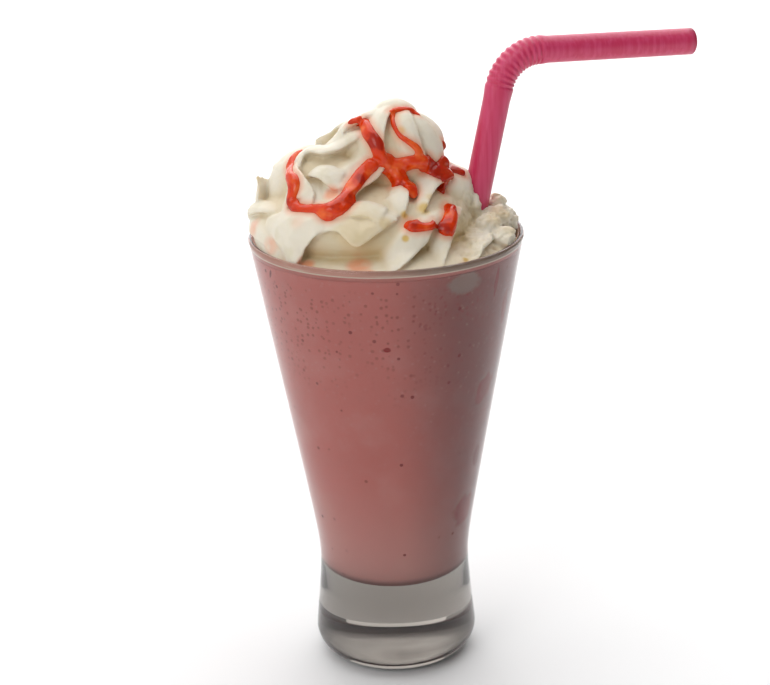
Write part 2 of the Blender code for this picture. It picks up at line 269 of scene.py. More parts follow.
# Blended milk and fruit: a dull pink that light soaks into, paler at the foot, with froth and pulp as fine
# dots under the level, and drops of syrup that ran down inside the wall on the right. Its IOR is that of
# milk against glass, 1.1 or less, as no air lies between them.
DRINK_PINK = "#e88880"
DRINK_PALE = "#f0aca5"
# Maroon: painted shade on the drink's right side, and the darker band over its lowest few millimetres.
DRINK_MAROON = "#6a2528"
PULP_RED = "#9c322e"
FROTH_RED = "#b24f49"
SYRUP_RUN = "#a80800"
FOLDED_CREAM = "#b3938a"
BUBBLE_PINK = "#f0c4b8"
CLOUD_SIZE = 14.3                   # uneven blending
FROTH_SIZE = 1.5                    # spacing of the dots of froth
BUBBLE_SIZE = 2.3                   # spacing of pale bubbles
PULP_SIZE = 3.4                     # spacing of specks of fruit
RAGGED_SIZE = 2.9                   # the broken edge of a mark
WALL_MARK_DEPTH = 9.0
WALL_MARKS = (
    # centre x, y, z; half-width, half-height in millimetres; lean in degrees; colour
    (27.0, -15.5, 91.7, 5.2, 4.2, -38, SYRUP_RUN),
    (20.4, -11.8, 51.1, 5.2, 5.8, -25, SYRUP_RUN),
    (24.3, -11.3, 68.7, 2.2, 4.0, -10, PULP_RED),
    (32.9, -13.8, 116.5, 2.2, 5.6, -8, SYRUP_RUN),
    (30.5, -21.8, 126.8, 1.0, 4.5, 0, SYRUP_RUN),
    (-32.7, -19.7, 130.0, 0.5, 1.6, 30, PULP_RED),
    (-0.6, -34.7, 111.1, 1.2, 0.9, 0, SYRUP_RUN),
    (21.4, -31.3, 129.4, 5.6, 3.6, 0, FOLDED_CREAM),
)
drink_material, tree, shader = new_material("Blended milk and fruit")
where = node(tree, "ShaderNodeTexCoord").outputs["Object"]
place = node(tree, "ShaderNodeSeparateXYZ", {"Vector": where})
cloud = node(tree, "ShaderNodeTexNoise", {"Vector": where, "Scale": 1000 / CLOUD_SIZE, "Detail": 4.0})


def layer(tree, colour, hex_colour, most, *steps):
    """Lays a colour over another: at most so much of it, and only where each value in the steps has gone
    smoothly from its low to its high."""
    amount = most
    for by, low, high in steps:
        sockets = {"Value": by, "From Min": low, "From Max": high, "To Max": amount}
        amount = node(tree, "ShaderNodeMapRange", sockets, interpolation_type="SMOOTHSTEP")
    return node(tree, "ShaderNodeMix", {0: amount, 6: colour, 7: linear(hex_colour)}, data_type="RGBA")


height = place.outputs["Z"]
colour = layer(tree, linear(DRINK_PALE), DRINK_PINK, 1.0, (height, 30 * MM, 75 * MM))
colour = layer(tree, colour, DRINK_PALE, 0.35, (cloud, 0.45, 0.75))
# Painted shade: towards +X, and more so higher up, the drink darkens to maroon in place of the shade on its
# right side.
painted_shade_slope = node(tree, "ShaderNodeMath", {0: height, 1: 0.05, 2: place.outputs["X"]}, operation="MULTIPLY_ADD")
colour = layer(tree, colour, DRINK_MAROON, 0.6, (painted_shade_slope, 3 * MM, 28 * MM))
# Darker maroon over the drink's lowest few millimetres, where the bowl's floor rounds.
colour = layer(tree, colour, DRINK_MAROON, 0.7, (height, 32 * MM, 28.5 * MM))
froth = node(tree, "ShaderNodeTexVoronoi", {"Vector": where, "Scale": 1000 / FROTH_SIZE})
chance = node(tree, "ShaderNodeSeparateColor", {"Color": froth.outputs["Color"]})
colour = layer(tree, colour, FROTH_RED, 0.6, (froth, 0.42, 0.26), (chance, 0.5, 0.6), (cloud, 0.3, 0.5),
               (height, 84 * MM, 120 * MM), (height, 131 * MM, 126 * MM))
bubble = node(tree, "ShaderNodeTexVoronoi", {"Vector": where, "Scale": 1000 / BUBBLE_SIZE})
colour = layer(tree, colour, BUBBLE_PINK, 0.15, (bubble, 0.22, 0.12), (height, 40 * MM, 110 * MM))
pulp = node(tree, "ShaderNodeTexVoronoi", {"Vector": where, "Scale": 1000 / PULP_SIZE})
chance = node(tree, "ShaderNodeSeparateColor", {"Color": pulp.outputs["Color"]})
colour = layer(tree, colour, PULP_RED, chance.outputs["Green"], (pulp, 0.20, 0.13), (chance, 0.70, 0.72))
waver = node(tree, "ShaderNodeTexNoise", {"Vector": where, "Scale": 1000 / RAGGED_SIZE, "Detail": 3.0})
for x, y, z, half_width, half_height, lean, mark_colour in WALL_MARKS:
    local = node(tree, "ShaderNodeMapping", {
        "Vector": where,
        "Location": Vector((x, y, z)) * MM,
        "Rotation": (0.0, math.radians(lean), math.atan2(y, x) + math.pi / 2),
        "Scale": Vector((half_width, WALL_MARK_DEPTH, half_height)) * MM,
    }, vector_type="TEXTURE")
    away = node(tree, "ShaderNodeVectorMath", {0: local}, operation="LENGTH")
    ragged = node(tree, "ShaderNodeMath", {0: waver, 1: 0.8, 2: away}, operation="MULTIPLY_ADD")
    colour = layer(tree, colour, mark_colour, 0.95, (ragged, 1.55, 1.1))
set_sockets(tree, shader, {
    "Base Color": colour,
    "Roughness": 0.35,
    "IOR": 1.1,
    "Subsurface Weight": 0.12,
    "Subsurface Radius": (1.0, 0.45, 0.4),
    "Subsurface Scale": 1.0 * MM,
})
add_piece("milk_drink", turned_mesh("milk_drink", drink_profile), drink_material, "milkshake")


# Film. Drink and cream that cling inside the wall above the level, from when the glass was filled: a thin
# ring let into the wall, ragged at its top.
FILM_THICKNESS = 0.25 * MM
FILM_HEAD_THICKNESS = 0.1 * MM
FILM_INTO_WALL = 0.08 * MM
FILM_TOP = 0.7 * MM
FILM_UNDER_LEVEL = 0.6 * MM


def join(bm, rings):
    """Faces between each ring of vertices and the next."""
    for ring, following in zip(rings, rings[1:]):
        for k in range(len(ring)):
            n = (k + 1) % len(ring)
            bm.faces.new((ring[k], ring[n], following[n], following[k]))


film = bmesh.new()
film_rings = []
film_foot = drink_level - FILM_UNDER_LEVEL
for k in range(TURNED_SIDES * 2):
    angle = math.pi * k / TURNED_SIDES
    facing = Vector((math.cos(angle), math.sin(angle), 0.0))
    ragged = noise(facing * 5.0) * 0.35 + noise(facing * 19.0) * 0.25
    film_head = GLASS_HEIGHT - FILM_TOP + ragged * MM
    ring = []
    for z, into in ((film_foot, FILM_INTO_WALL), (film_head, FILM_INTO_WALL),
                    (film_head, -FILM_HEAD_THICKNESS), (film_foot, -FILM_THICKNESS)):
        ring.append(film.verts.new(facing * (glass_inner(z) + into) + Vector((0.0, 0.0, z))))
    film_rings.append(ring)
join(film, film_rings + film_rings[:1])

# Drying film: pink and smeary, turned brown towards +X as painted shade, lighter where cream has wiped
# through it, with a pale line a little above the drink's level.
FILM_PINK = "#e8a590"
FILM_SHADE_BROWN = "#bb9c89"
FILM_WIPED = "#f6dcc4"
FILM_PALE_LINE = "#fbe6d2"
FILM_DRINK = "#dc8278"
WIPE_LENGTH = 16.7
WIPE_WIDTH = 1.1
film_material, tree, shader = new_material("Film of drink and cream on glass")
where = node(tree, "ShaderNodeTexCoord").outputs["Object"]
wipes = node(tree, "ShaderNodeMapping", {
    "Vector": where,
    "Scale": (1000 / WIPE_LENGTH, 1000 / WIPE_LENGTH, 1000 / WIPE_WIDTH),
})
streak = node(tree, "ShaderNodeTexNoise", {"Vector": wipes, "Scale": 1.0, "Detail": 4.0})
place = node(tree, "ShaderNodeSeparateXYZ", {"Vector": where})
# Painted shade: the film turns brown towards +X.
colour = layer(tree, linear(FILM_PINK), FILM_SHADE_BROWN, 1.0, (place, -8 * MM, 16 * MM))
colour = layer(tree, colour, FILM_WIPED, 0.75, (streak, 0.52, 0.68))
above = node(tree, "ShaderNodeMath", {0: place.outputs["Z"], 1: drink_level}, operation="SUBTRACT")
# A pale line between about 0.9 and 1.5 mm above the drink's level.
colour = layer(tree, colour, FILM_PALE_LINE, 1.0, (above, 1.5 * MM, 1.2 * MM))
colour = layer(tree, colour, FILM_DRINK, 1.0, (above, 1.1 * MM, 0.9 * MM))
set_sockets(tree, shader, {"Base Color": colour, "Roughness": 0.4})
add_piece("drink_film", mesh_from(film, "drink_film"), film_material, "milkshake")


# Cream. Piped from a star nozzle in a coil that climbs to a peak: soft folds that hang over each other.
# Mounds give the heap's outline, folds are swept over it, and a fine skin runs them together.
OUTLINE_VOXEL = 1.2 * MM
OUTLINE_SMOOTHING = 12
CREAM_SMOOTHING = 1
FINE_WAVER = 1.6                    # widths of the skin's small unevennesses
FINE_WAVER_HEIGHT = 0.10
WIDE_WAVER = 6.0
WIDE_WAVER_HEIGHT = 0.22
CURD = 3.2
CREAM_SUNK = 1.0 * MM               # how far it sinks into the drink
CREAM_OFF_LIP = 0.2 * MM
LIP_CLEARANCE = 1.5 * MM
CREAM_VOXEL = 0.42 * MM
HEAP_MOUNDS = (
    # centre x, y, height over the lip; half-sizes x, y, z; how far its core lies under, in millimetres
    ((0, 0, -3), (42.0, 42.0, 9.5), 3.0),
    ((-6, 0, 5), (35, 34, 17), 3.0),
    ((-15, -2, 15.5), (18, 18, 14), 3.0),
    ((-21, 2, 13), (14, 14, 13.5), 0.5),
    ((-6, 0, 25.5), (10.5, 11, 10), 2.2),
    ((2.5, 0, 20), (16.5, 16, 20), 3.0),
    ((3.2, 0, 32.5), (9, 8.5, 8.6), 1.2),
    ((18.5, 0, 11), (9, 9, 9), 1.0),
    ((31, 8, 0), (9, 12, 6.5), 1.0),
)
STRAW_LUMPS = (
    # torn lumps round the straw: centre x, y, height over the lip; half-sizes x, y, z
    (26.8, -2.2, 6.6, 1.6, 2.0, 5.0), (22.0, -3.0, 7.0, 3.6, 4.0, 4.0), (30.5, 0.0, 3.2, 3.8, 4.5, 3.4),
    (33.0, 6.5, 5.6, 3.4, 3.6, 3.6), (34.0, -1.0, 3.4, 3.6, 4.6, 3.8), (36.0, 2.5, 1.6, 3.8, 5.0, 3.6),
    (30.0, -8.0, 3.6, 4.2, 4.6, 3.4), (34.0, -12.0, 0.6, 4.2, 5.0, 3.2),
)
HEAP_LEAN = 0.08
FOLD_STEPS = 8
FOLD_SECTION = (
    # a fold cut across: distance uphill from its edge in widths, more of it in depths, height in depths
    (0.00, 0.00, 0.00), (0.00, 0.08, 0.07), (0.22, 0.00, 0.08), (0.45, 0.00, -0.04), (0.70, 0.00, -0.25),
    (1.00, 0.00, -0.80), (0.80, 0.00, -1.50), (0.00, 0.90, -1.25), (0.00, 0.50, -0.75), (0.00, 0.16, -0.28),
)
FOLDS = (
    # edge stations (azimuth, height over the lip[, stand-off]) from foot to top; width uphill; depth
    # the lowest coil, from the left round the front to the right
    (((-172, 11), (-178, 14, 2), (178, 17, 6)), 6, 3.0),
    (((165, -2, 1), (-175, -3, 1), (-158, -3, 0.5), (-140, -3)), 13, 3.0),
    (((-120, -3, -2), (-108, -3, -1), (-96, -2, -1), (-84, 0, -1)), 7, 3.0),
    (((-134, -3), (-131, 0), (-127, 5), (-122, 9), (-116, 10)), 28, 4.5),
    (((-127, 6), (-121, 9), (-114, 9), (-105, 5), (-97, 8), (-89, 11), (-77, 15)), 13, 5.0),
    (((-91, -1), (-83, 1), (-71, 4), (-63, 8), (-42, 12)), 10, 5.0),
    (((-66, 0), (-53, 4), (-42, 9), (-29, 11)), 6, 4.0),
    (((-51, -1), (-42, 1), (-30, 2), (-11, 3), (20, 6)), 6.5, 4.5),
    # the middle coil
    (((-138, 14), (-118, 13), (-103, 13), (-93, 11), (-84, 12)), 8, 2.2),
    (((-152, 11), (-134, 13), (-119, 14), (-110, 19), (-99, 22), (-93, 25)), 13, 4.0),
    (((-149, 22, 0.5), (-139, 21, 0.8), (-127, 18, 0.8), (-119, 19, 0.8), (-112, 24)), 11, 4.5),
    (((-133, 13), (-136, 17, 1), (-145, 21, 1), (-165, 25)), 14, 3.5),
    (((-80, 13), (-74, 17), (-79, 21)), 8, 4.0),
    (((-69, 12), (-52, 16), (-31, 17), (7, 16)), 6, 4.0),
    (((-155, 23), (-161, 27), (-149, 27), (-140, 30), (-128, 34)), 9, 4.0),
    # the top coil
    (((-145, 29), (-158, 32), (-144, 36), (-112, 39)), 9, 3.5),
    (((-93, 25), (-99, 30), (-100, 34), (-94, 38), (-60, 40)), 12, 4.0),
    (((-42, 22), (-52, 30), (-50, 36), (-30, 39)), 10, 3.5),
    (((-6, 19), (-16, 27), (-24, 34), (-20, 38)), 9, 3.5),
)
BACK_COILS = (
    # first azimuth, spacing, count; foot and top heights; azimuth swept; width; depth
    (0, 27, 7, (-1, 12), 44, 9, 4.5),
    (-5, 30, 6, (11, 23), 48, 8, 4.5),
    (-5, 38, 5, (22, 37), 56, 7, 4.0),
)


def heap_point(azimuth, height, reach):
    """A point at an azimuth in degrees (0 at +X, -90 in front), a height over the lip and a reach from
    the heap's leaning axis, in millimetres."""
    angle = math.radians(azimuth)
    return Vector((
        (HEAP_LEAN * max(height, 0.0) + reach * math.cos(angle)) * MM,
        reach * math.sin(angle) * MM,
        GLASS_HEIGHT + height * MM,
    ))


def mounds(sunk):
    """The heap's mounds as loose overlapping shells, each sunk all round by a share of its own depth."""
    bm = bmesh.new()
    for centre, half_sizes, core_depth in HEAP_MOUNDS:
        place = Matrix.Translation(heap_point(0, 0, 0) + Vector(centre) * MM)
        shape = Matrix.Diagonal((*[(size - sunk * core_depth) * MM for size in half_sizes], 1.0))
        bmesh.ops.create_uvsphere(bm, u_segments=64, v_segments=32, radius=1.0, matrix=place @ shape)
    return bm


def laid_on(surface, azimuth, height):
    """Where a level line from outside to the heap's axis meets the surface, and its normal there."""
    outside = heap_point(azimuth, height, 90)
    inside = heap_point(azimuth, height, 0)
    point, normal, _, _ = surface.ray_cast(outside, inside - outside)
    if point is None:
        point, normal, _, _ = surface.find_nearest(inside)
    return point, normal


def smooth_route(points, steps):
    """Points along a Catmull-Rom curve through the given ones."""
    ends = [2 * points[0] - points[1]] + points + [2 * points[-1] - points[-2]]
    route = []
    for a, b, c, d in zip(ends, ends[1:], ends[2:], ends[3:]):
        for i in range(steps):
            t = i / steps
            route.append(0.5 * (2 * b + (c - a) * t + (2 * a - 5 * b + 4 * c - d) * t * t
                                + (3 * b - a - 3 * c + d) * t ** 3))
    route.append(points[-1])
    return route


def skin(bm, rings):
    """Faces between successive rings of vertices, with a cap at either end."""
    join(bm, rings)
    bm.faces.new(rings[0][::-1])
    bm.faces.new(rings[-1])


def add_fold(bm, surface, stations, width, depth):
    """A piped fold: its section swept along its hanging edge and wrapped over the heap's outline,
    sinking into the heap at both ends."""
    laid = [laid_on(surface, station[0], station[1]) for station in stations]
    route = smooth_route([point for point, _ in laid], FOLD_STEPS)
    facing = smooth_route([normal for _, normal in laid], FOLD_STEPS)
    stand_off = smooth_route([sum(station[2:]) for station in stations], FOLD_STEPS)
    rings = []
    last = len(route) - 1
    for i, point in enumerate(route):
        along = (route[min(i + 1, last)] - route[max(i - 1, 0)]).normalized()
        uphill = facing[i].cross(along).normalized()
        full = math.sin(math.pi * (0.04 + 0.92 * i / last)) ** 0.5
        ring = []
        for in_widths, in_depths, above in FOLD_SECTION:
            across = in_widths + in_depths * depth / width
            on_outline, out, _, _ = surface.find_nearest(point + uphill * (across * width * full * MM))
            rise = (above * full - (1 - full)) * depth + stand_off[i] * (1 - across)
            ring.append(bm.verts.new(on_outline + out * (rise * MM)))
        rings.append(ring)
    skin(bm, rings)


def back_folds():
    """The folds of the far side, evenly spaced along each coil and swept up like those in front."""
    folds = []
    for first, spacing, count, (foot, top), sweep, width, depth in BACK_COILS:
        for i in range(count):
            start = first + spacing * i
            stations = []
            for share in (0.0, 0.3, 0.65, 1.0):
                wander = 2.0 * math.sin(2.1 * start + 5.0 * share)
                stations.append((start + sweep * share ** 1.2 + wander, foot + (top - foot) * share))
            folds.append((stations, width, depth))
    return folds


def melted(bm, voxel, smoothing):
    """The evaluated mesh of overlapping shells run together into one skin."""
    obj = bpy.data.objects.new("melting", mesh_from(bm, "melting"))
    bpy.context.scene.collection.objects.link(obj)
    melt = obj.modifiers.new("Melt", "REMESH")
    melt.mode = "VOXEL"
    melt.voxel_size = voxel
    soften = obj.modifiers.new("Soften", "SMOOTH")
    soften.iterations = smoothing
    result = bpy.data.meshes.new_from_object(obj.evaluated_get(bpy.context.evaluated_depsgraph_get()))
    bpy.data.objects.remove(obj, do_unlink=True)
    return result


def tree_of(mesh):
    """A search tree over a mesh's faces."""
    bm = bmesh.new()
    bm.from_mesh(mesh)
    surface = BVHTree.FromBMesh(bm)
    bm.free()
    return surface


outline = tree_of(melted(mounds(0.0), OUTLINE_VOXEL, OUTLINE_SMOOTHING))
heap = mounds(1.0)
for x, y, height, *half_sizes in STRAW_LUMPS:
    place = Matrix.Translation(heap_point(0, 0, 0) + Vector((x, y, height)) * MM)
    shape = Matrix.Diagonal((*half_sizes, 1.0))
    bmesh.ops.create_uvsphere(heap, u_segments=24, v_segments=12, radius=MM, matrix=place @ shape)
for stations, width, depth in list(FOLDS) + back_folds():
    add_fold(heap, outline, stations, width, depth)
cream_mesh = melted(heap, CREAM_VOXEL, CREAM_SMOOTHING)


def blend_over(low, high, value):
    """A smooth step from 0 at one value to 1 at another."""
    t = min(max((value - low) / (high - low), 0.0), 1.0)
    return t * t * (3 - 2 * t)


def roughen(mesh):
    """Moves the skin in and out: a faint waver all over, and a torn, curdled surface by the straw. The
    normals are taken first, because moving a vertex changes its neighbours'."""
    normals = [vertex.normal.copy() for vertex in mesh.vertices]
    for vertex, normal in zip(mesh.vertices, normals):
        x, y, z = vertex.co / MM
        height = z - GLASS_HEIGHT / MM
        torn = blend_over(14, 30, x) * (1 - blend_over(11, 18, height))
        waver = noise(vertex.co / (FINE_WAVER * MM)) * FINE_WAVER_HEIGHT
        waver += noise(vertex.co / (WIDE_WAVER * MM)) * WIDE_WAVER_HEIGHT
        curd = noise(vertex.co / (CURD * MM)) - abs(noise(vertex.co / (CURD * 0.5 * MM)))
        vertex.co += normal * ((waver + torn * curd) * MM)


def fit_in_glass(mesh):
    """Presses the cream inside the wall's film and the lip, and onto the drink."""
    floor = drink_level - CREAM_SUNK
    in_lip = RIM_RADIUS - LIP_WALL - CREAM_OFF_LIP
    for vertex in mesh.vertices:
        x, y, z = vertex.co
        radius = math.hypot(x, y)
        z = max(z, floor)
        over_lip = blend_over(LIP_CLEARANCE, 2 * LIP_CLEARANCE, z - GLASS_HEIGHT)
        widest = min(glass_inner(min(z, GLASS_HEIGHT)) - FILM_THICKNESS / 2, in_lip) + over_lip * LIP_WALL
        if radius > widest:
            x, y = x * widest / radius, y * widest / radius
        vertex.co = (x, y, z)


roughen(cream_mesh)
fit_in_glass(cream_mesh)


# Syrup. Thick red fruit syrup, drizzled from a bottle in strands that cross, pool and end in drops. Each
# strand is laid over the cream and the whole is run together.
STRAND_STEPS = 6
STRAND_SIDES = 16
STRAND_FLATNESS = 0.62
STRAND_SAG = 0.45                   # how far a strand bends down over an edge, in half-widths
STRAND_SUNK = 0.3                   # how far its underside lies in the cream, in half-widths
STRAND_END = 3                      # steps over which an end rounds off
CORE_SIZE = 0.55                    # the core's radius, in half-widths
CORE_SIDES = 8
MELT_LOSS = 1.2                     # smoothing thins a strand by about this
SYRUP_VOXEL = 0.3 * MM
SYRUP_SMOOTHING = 7
STRANDS = (
    # each strand's stations: azimuth, height over the lip, half its width[, lift off the cream]
    # the loop on the left and its arm up to the crossing
    ((-179, 25.5, 0.8), (-174, 24.0, 1.1), (-167, 21.7, 1.4), (-158, 20.6, 1.7), (-151, 19.4, 2.2),
     (-149, 16.9, 1.9), (-147, 15.3, 1.7), (-142, 13.6, 1.5), (-136, 13.8, 1.2), (-130, 14.3, 1.5),
     (-123, 14.1, 2.4), (-119, 15.0, 2.5), (-117, 17.1, 2.2), (-118, 19.8, 1.9), (-116, 22.5, 1.9),
     (-106, 25.0, 2.1)),
    # the hook, and the strand down to the right through the crossing
    ((-157, 33.1, 1.0), (-160, 34.4, 1.2), (-153, 35.0, 1.2), (-142, 33.8, 1.6),
     (-120, 31.6, 1.9), (-110, 29.7, 2.0), (-103, 26.8, 2.2), (-94, 23.7, 2.4), (-83, 20.6, 2.5, 1.5),
     (-75, 17.6, 2.4, 2.6), (-71, 15.6, 1.7, 2.2), (-70, 14.0, 0.9, 1.2)),
    # the arm to the right and the pool by the straw
    ((-91, 23.1, 1.8), (-76, 23.2, 1.9), (-64, 23.9, 2.0), (-54, 23.8, 2.1), (-37, 21.7, 2.4),
     (-32, 20.1, 2.8), (-23, 19.0, 3.0), (-26, 17.3, 2.4), (-25, 14.8, 1.7), (-33, 13.6, 0.9)),
    ((-29, 21.6, 1.8), (-16, 20.9, 2.6), (-5, 19.3, 2.0), (-4, 18.1, 1.6), (-6, 16.8, 1.2)),
    # the thin strand from the peak
    ((-27, 35.5, 0.7), (-30, 36.8, 0.9), (-60, 37.8, 0.8), (-91, 37.5, 1.0), (-91, 35.6, 0.8),
     (-86, 33.4, 0.7), (-79, 31.6, 0.7), (-68, 29.8, 0.8), (-59, 27.8, 1.0), (-55, 25.0, 1.4)),
    # the short piece in front
    ((-78, 10.4, 1.5), (-76, 9.6, 2.2), (-71, 9.0, 1.3), (-65, 8.9, 1.2), (-58, 7.9, 1.6), (-54, 7.3, 2.3),
     (-50, 9.3, 2.0), (-45, 11.0, 1.6), (-38, 11.6, 1.5)),
    ((-56, 6.1, 1.9), (-53, 7.2, 2.0), (-48, 9.9, 1.6)),
    # a fleck on the right of the peak
    ((-3, 27.4, 0.5), (-1, 25.5, 0.9), (2, 23.8, 0.6)),
)


def add_strand(bm, surface, stations):
    """A strand of syrup: a low bead draped over the cream, as wide as its stations say and round at the
    ends, with a core along its middle that carries it over gaps."""
    laid = [laid_on(surface, station[0], station[1]) for station in stations]
    lifted = [point + normal * (sum(station[3:]) * MM) for (point, normal), station in zip(laid, stations)]
    route = smooth_route(lifted, STRAND_STEPS)
    facing = smooth_route([normal for _, normal in laid], STRAND_STEPS)
    widths = smooth_route([station[2] for station in stations], STRAND_STEPS)
    last = len(route) - 1
    rings = []
    cores = []
    for i, point in enumerate(route):
        along = (route[min(i + 1, last)] - route[max(i - 1, 0)]).normalized()
        out = facing[i].normalized()
        side = out.cross(along).normalized()
        width = MELT_LOSS * widths[i] * min(1.0, (min(i, last - i) + 0.3) / STRAND_END) ** 0.5 * MM
        ring = []
        for k in range(STRAND_SIDES):
            angle = 2 * math.pi * k / STRAND_SIDES
            level = point + side * (width * math.cos(angle))
            drop = surface.find_nearest(level)[0] - level
            drop *= min(1.0, STRAND_SAG * width / max(drop.length, 1e-9))
            rise = math.sin(angle) * STRAND_FLATNESS
            ring.append(bm.verts.new(level + drop + out * (width * max(rise, -STRAND_SUNK))))
        rings.append(ring)
        core = []
        for k in range(CORE_SIDES):
            angle = 2 * math.pi * k / CORE_SIDES
            spoke = side * math.cos(angle) + out * math.sin(angle)
            core.append(bm.verts.new(point + width * CORE_SIZE * spoke))
        cores.append(core)
    skin(bm, rings)
    skin(bm, cores)


cream_surface = tree_of(cream_mesh)
syrup = bmesh.new()
for stations in STRANDS:
    add_strand(syrup, cream_surface, stations)
syrup_mesh = melted(syrup, SYRUP_VOXEL, SYRUP_SMOOTHING)

# Fruit syrup: clear red, orange where it is thin and dark in swirls, darker towards +X high on the heap, wet
# and glossy, IOR 1.42.
SYRUP_RED = "#d63802"
SYRUP_ORANGE = "#f07030"
SYRUP_DARK = "#9c1402"
SYRUP_RIGHT_DARK = "#8c0f04"
SWIRL_SIZE = 5.6
syrup_material, tree, shader = new_material("Red fruit syrup, wet")
where = node(tree, "ShaderNodeTexCoord").outputs["Object"]
swirl = node(tree, "ShaderNodeTexNoise", {"Vector": where, "Scale": 1000 / SWIRL_SIZE, "Detail": 3.0})
place = node(tree, "ShaderNodeSeparateXYZ", {"Vector": where})
colour = layer(tree, linear(SYRUP_RED), SYRUP_ORANGE, 0.8, (swirl, 0.5, 0.72))
colour = layer(tree, colour, SYRUP_DARK, 0.8, (swirl, 0.48, 0.3))
# Darker towards +X, from about 10 mm over the lip upwards.
colour = layer(tree, colour, SYRUP_RIGHT_DARK, 0.6, (place, 12 * MM, 19 * MM),
               (place.outputs["Z"], 146 * MM, 150 * MM))
set_sockets(tree, shader, {
    "Base Color": colour,
    "Roughness": 0.12,
    "IOR": 1.42,
    "Subsurface Weight": 0.15,
    "Subsurface Radius": (1.0, 0.2, 0.05),
    "Subsurface Scale": 1.2 * MM,
})
add_piece("fruit_syrup", syrup_mesh, syrup_material, "whipped_cream")


# Cream, finished. It takes colour from the syrup that touches it, and from juice that has soaked in at a
# few spots; both are stored on its mesh, with how deep each point lies in a hollow, which the material turns
# into painted shade.
STAIN_REACH = 2.6 * MM
SYRUP_STAIN = 0.75
HOLLOW_DEPTH = 5.0 * MM
JUICE_SPOTS = (
    # azimuth, height over the lip, radius in millimetres, strength
    (-150, 2, 4.0, 0.7), (-166, 5, 4.5, 0.6), (-128, -1, 3.6, 1.0), (-103, 0, 5.0, 1.0),
    (-99, -1.5, 4.0, 1.0), (-95, -2.5, 2.5, 0.9), (-128, 17.5, 3.6, 0.9), (-135, 11, 4.0, 0.35),
    (-54, -2, 3.0, 0.4), (20, 20, 3.0, 0.5), (-112, 27, 4.0, 0.3),
)
OCHRE_SPOTS = (
    (-80, 12, 1.7, 1.0), (-81, 6.6, 1.5, 1.0), (-52, -1, 1.6, 0.8), (-104, 10, 12.0, 0.42), (-66, 13, 3.0, 0.8),
    (-92, 11, 4.0, 0.5), (-79, 33, 2.2, 0.7), (-52, 4, 3.0, 0.4), (-40, 2, 2.5, 0.35), (-58, 15, 2.5, 0.5),
)


def spotted(points, spots):
    """How far each point lies within any of the spots, from 0 to 1."""
    amount = np.zeros(len(points))
    for azimuth, height, radius, strength in spots:
        centre, _ = laid_on(cream_surface, azimuth, height)
        away = np.linalg.norm(points - np.array(centre), axis=1) / (radius * MM)
        amount = np.maximum(amount, strength * np.clip((1.0 - away) / 0.65, 0.0, 1.0))
    return amount


def mark(mesh, name, amounts):
    """Store a number for every vertex, for the material to read."""
    attribute = mesh.attributes.new(name, "FLOAT", "POINT")
    attribute.data.foreach_set("value", np.asarray(amounts, dtype=np.float32))


def distances(points, surface, reach):
    """How far each point is from a surface, as a share of a reach, 1 at the reach and beyond."""
    found = [surface.find_nearest(point, reach)[3] for point in points]
    return np.array([1.0 if away is None else away / reach for away in found])


cream_points = np.empty(len(cream_mesh.vertices) * 3)
cream_mesh.vertices.foreach_get("co", cream_points)
cream_points = cream_points.reshape(-1, 3)
near_syrup = 1.0 - distances(cream_points, tree_of(syrup_mesh), STAIN_REACH)
mark(cream_mesh, "hollow", distances(cream_points, outline, HOLLOW_DEPTH))
mark(cream_mesh, "ochre", spotted(cream_points, OCHRE_SPOTS))
mark(cream_mesh, "stain", np.maximum(near_syrup * SYRUP_STAIN, spotted(cream_points, JUICE_SPOTS)))

# Whipped cream: soft, nearly white on the folds, with painted shade in the hollows, matt with a faint wet
# sheen.
CREAM_WHITE = "#e5ddcb"
CREAM_HOLLOW_SHADE = "#d2be96"
CREAM_PATCH = "#d8cfb2"
OCHRE = "#d3ac3c"
JUICE = "#e8936a"
PATCH_SIZE = 6.7
AIR_BUBBLE = 0.7
cream_material, tree, shader = new_material("Whipped dairy cream")
where = node(tree, "ShaderNodeTexCoord").outputs["Object"]
patchy = node(tree, "ShaderNodeTexNoise", {"Vector": where, "Scale": 1000 / PATCH_SIZE, "Detail": 4.0})
hollow, ochre, stain = [node(tree, "ShaderNodeAttribute", attribute_name=name).outputs["Fac"]
                        for name in ("hollow", "ochre", "stain")]
# Painted shade: darker and warmer the deeper a point lies under the heap's outline.
colour = layer(tree, linear(CREAM_WHITE), CREAM_HOLLOW_SHADE, 1.0, (hollow, 0.1, 0.9))
colour = layer(tree, colour, CREAM_PATCH, 0.5, (patchy, 0.5, 0.7))
colour = layer(tree, colour, OCHRE, 0.8, (ochre, 0.0, 1.0))
colour = layer(tree, colour, JUICE, 0.75, (stain, 0.0, 1.0), (patchy, 0.1, 0.5))
bubbles = node(tree, "ShaderNodeTexNoise", {"Vector": where, "Scale": 1000 / AIR_BUBBLE, "Detail": 2.0})
set_sockets(tree, shader, {
    "Base Color": colour,
    "Roughness": 0.48,
    "IOR": 1.4,
    "Normal": node(tree, "ShaderNodeBump", {"Height": bubbles, "Strength": 0.2, "Distance": 0.15 * MM}),
    "Subsurface Weight": 0.3,
    "Subsurface Radius": (1.0, 0.85, 0.6),
    "Subsurface Scale": 1.0 * MM,
})
add_piece("piped_cream", cream_mesh, cream_material, "whipped_cream")


